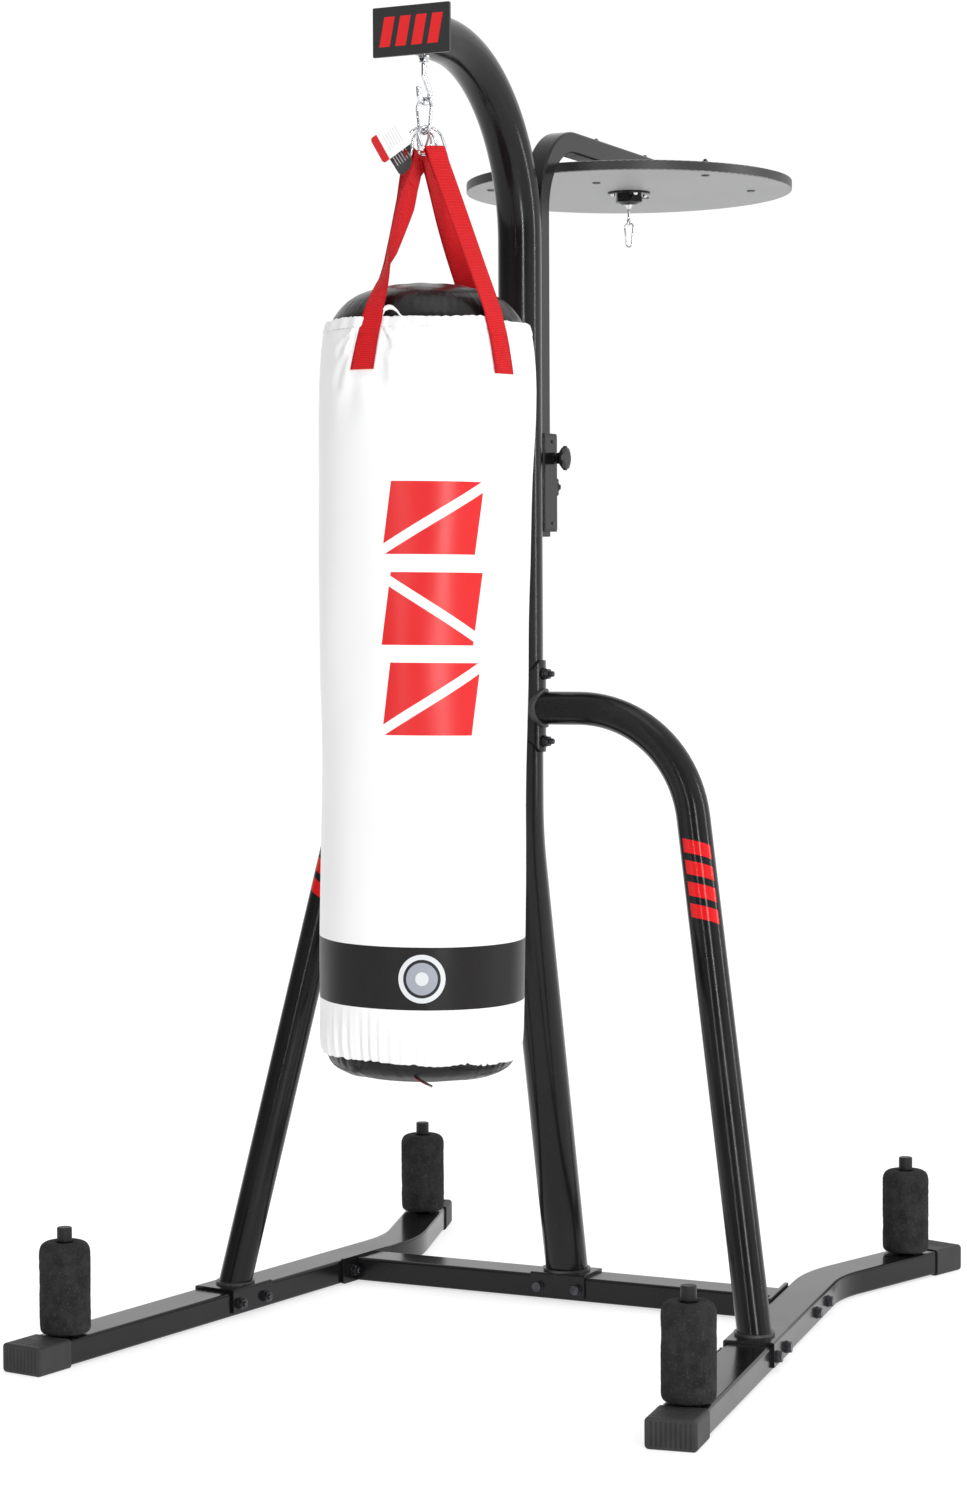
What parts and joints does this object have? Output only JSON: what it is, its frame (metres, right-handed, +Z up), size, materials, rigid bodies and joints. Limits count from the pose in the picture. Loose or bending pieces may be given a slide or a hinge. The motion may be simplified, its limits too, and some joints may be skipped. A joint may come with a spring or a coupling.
{
  "type": "punching bag on stand",
  "caption": "Free-standing boxing station: bent-tube stand with a strapped heavy bag, foam-sleeved plate pegs and a height-adjustable speed-bag platform.",
  "frame": {"origin": "middle of the footprint on the floor", "axes": "+Z up, -Y the side the boxer stands on, +X to the boxer's right as the boxer faces the stand"},
  "size_m": [1.226, 1.5225, 2.2345],
  "materials": {
    "black_tube": "gloss black powder coat with faint orange peel",
    "black_zinc": "dark zinc-plated fasteners",
    "chrome": "bright chrome plate",
    "black_plastic": "moulded ribbed black plastic",
    "grey_plastic": "dark grey moulded plastic",
    "foam": "matte closed-cell foam",
    "sign": "satin black printed plate",
    "white_vinyl": "white satin coated vinyl",
    "black_vinyl": "gloss black vinyl",
    "filling": "compressed textile filling",
    "red_webbing": "ribbed red nylon webbing",
    "card": "printed card",
    "board": "grey laminated board with dark edge band",
    "weld": "painted weld",
    "steel_dark": "black painted steel"
  },
  "bodies": {
    "frame": {"left_runner": "black_tube", "right_runner": "black_tube", "crossbar": "black_tube", "crossbar_end_plates": "black_tube", "lower_upright": "black_tube", "upper_upright": "black_tube", "upright_spigot": "steel_dark", "upright_foot_bracket": "black_tube", "left_leg": "black_tube", "right_leg": "black_tube", "leg_saddles": "black_tube", "left_foot_bracket": "black_tube", "right_foot_bracket": "black_tube", "weld_beads": "weld", "front_end_caps": "grey_plastic", "rear_end_caps": "grey_plastic", "plate_pegs": "black_tube", "peg_caps": "black_plastic", "frame_bolts": "black_zinc", "frame_nuts": "black_zinc", "frame_washers": "black_zinc", "arch_end_plug": "black_plastic", "sign_plate": "sign", "j_hook": "chrome", "hook_nuts": "chrome", "mast_sleeve": "black_tube", "mast_bushings": "black_plastic", "clamp_bosses": "black_tube", "bushing_screws": "black_zinc"},
    "bag_clip": {"bag_clip": "chrome"},
    "bag_clip_gate": {"bag_clip_gate": "chrome"},
    "heavy_bag": {"d_rings": "chrome", "front_left_strap": "red_webbing", "front_right_strap": "red_webbing", "rear_left_strap": "red_webbing", "rear_right_strap": "red_webbing", "bag_shell": "white_vinyl", "bag_filling": "filling", "bag_top": "black_vinyl", "bag_base": "black_vinyl", "hang_tags": "card"},
    "speed_unit": {"speed_mast": "black_tube", "mast_end_caps": "black_plastic", "platform": "board", "platform_struts": "black_tube", "platform_screws": "black_zinc", "swivel_flange": "steel_dark", "swivel_housing": "steel_dark", "swivel_screws": "chrome"},
    "swivel": {"swivel_spindle": "chrome"},
    "speed_clip": {"speed_clip": "chrome"},
    "speed_clip_gate": {"speed_clip_gate": "chrome"},
    "side_knob": {"side_knob": "black_plastic"},
    "rear_knob": {"rear_knob": "black_plastic"},
    "front_left_foam_sleeve": {"front_left_foam_sleeve": "foam"},
    "front_right_foam_sleeve": {"front_right_foam_sleeve": "foam"},
    "rear_left_foam_sleeve": {"rear_left_foam_sleeve": "foam"},
    "rear_right_foam_sleeve": {"rear_right_foam_sleeve": "foam"}
  },
  "joints": [
    {"name": "bag_swing_front_back", "type": "hinge", "parent": "frame", "child": "bag_clip", "pos_m": [0, -0.4015, 2.08285], "axis": [0.9397, -0.342, 0], "range_deg": [-25, 5]},
    {"name": "bag_swing_side", "type": "hinge", "parent": "bag_clip", "child": "heavy_bag", "pos_m": [0, -0.4015, 2.039], "axis": [0.342, 0.9397, 0], "range_deg": [-20, 9]},
    {"name": "bag_clip_gate_open", "type": "hinge", "parent": "bag_clip", "child": "bag_clip_gate", "pos_m": [-0.01256, -0.39693, 2.041], "axis": [0.342, 0.9397, 0], "range_deg": [0, 12], "stiffness_Nm_per_rad": 0.05, "springref_deg": -17.19},
    {"name": "mast_slide", "type": "slide", "parent": "frame", "child": "speed_unit", "axis": [0, 0, 1], "range_m": [-0.24, 0.07]},
    {"name": "swivel_turn", "type": "hinge", "parent": "speed_unit", "child": "swivel", "pos_m": [0, 0.4565, 2], "axis": [0, 0, 1], "continuous": true},
    {"name": "speed_clip_swing", "type": "hinge", "parent": "swivel", "child": "speed_clip", "pos_m": [0, 0.4565, 1.9718], "axis": [0, 1, 0], "range_deg": [-12, 12]},
    {"name": "speed_clip_gate_open", "type": "hinge", "parent": "speed_clip", "child": "speed_clip_gate", "pos_m": [-0.00581, 0.4565, 1.9423], "axis": [0, 1, 0], "range_deg": [0, 12], "stiffness_Nm_per_rad": 0.01, "springref_deg": -17.19},
    {"name": "side_knob_turn", "type": "hinge", "parent": "frame", "child": "side_knob", "pos_m": [0.05, 0.034, 1.515], "axis": [1, 0, 0], "range_deg": [-720, 0]},
    {"name": "rear_knob_turn", "type": "hinge", "parent": "frame", "child": "rear_knob", "pos_m": [0, 0.084, 1.467], "axis": [0, 1, 0], "range_deg": [-720, 0]},
    {"name": "front_left_foam_sleeve_lift", "type": "slide", "parent": "frame", "child": "front_left_foam_sleeve", "axis": [0, 0, 1], "range_m": [0, 0.2]},
    {"name": "front_right_foam_sleeve_lift", "type": "slide", "parent": "frame", "child": "front_right_foam_sleeve", "axis": [0, 0, 1], "range_m": [0, 0.2]},
    {"name": "rear_left_foam_sleeve_lift", "type": "slide", "parent": "frame", "child": "rear_left_foam_sleeve", "axis": [0, 0, 1], "range_m": [0, 0.2]},
    {"name": "rear_right_foam_sleeve_lift", "type": "slide", "parent": "frame", "child": "rear_right_foam_sleeve", "axis": [0, 0, 1], "range_m": [0, 0.2]}
  ]
}
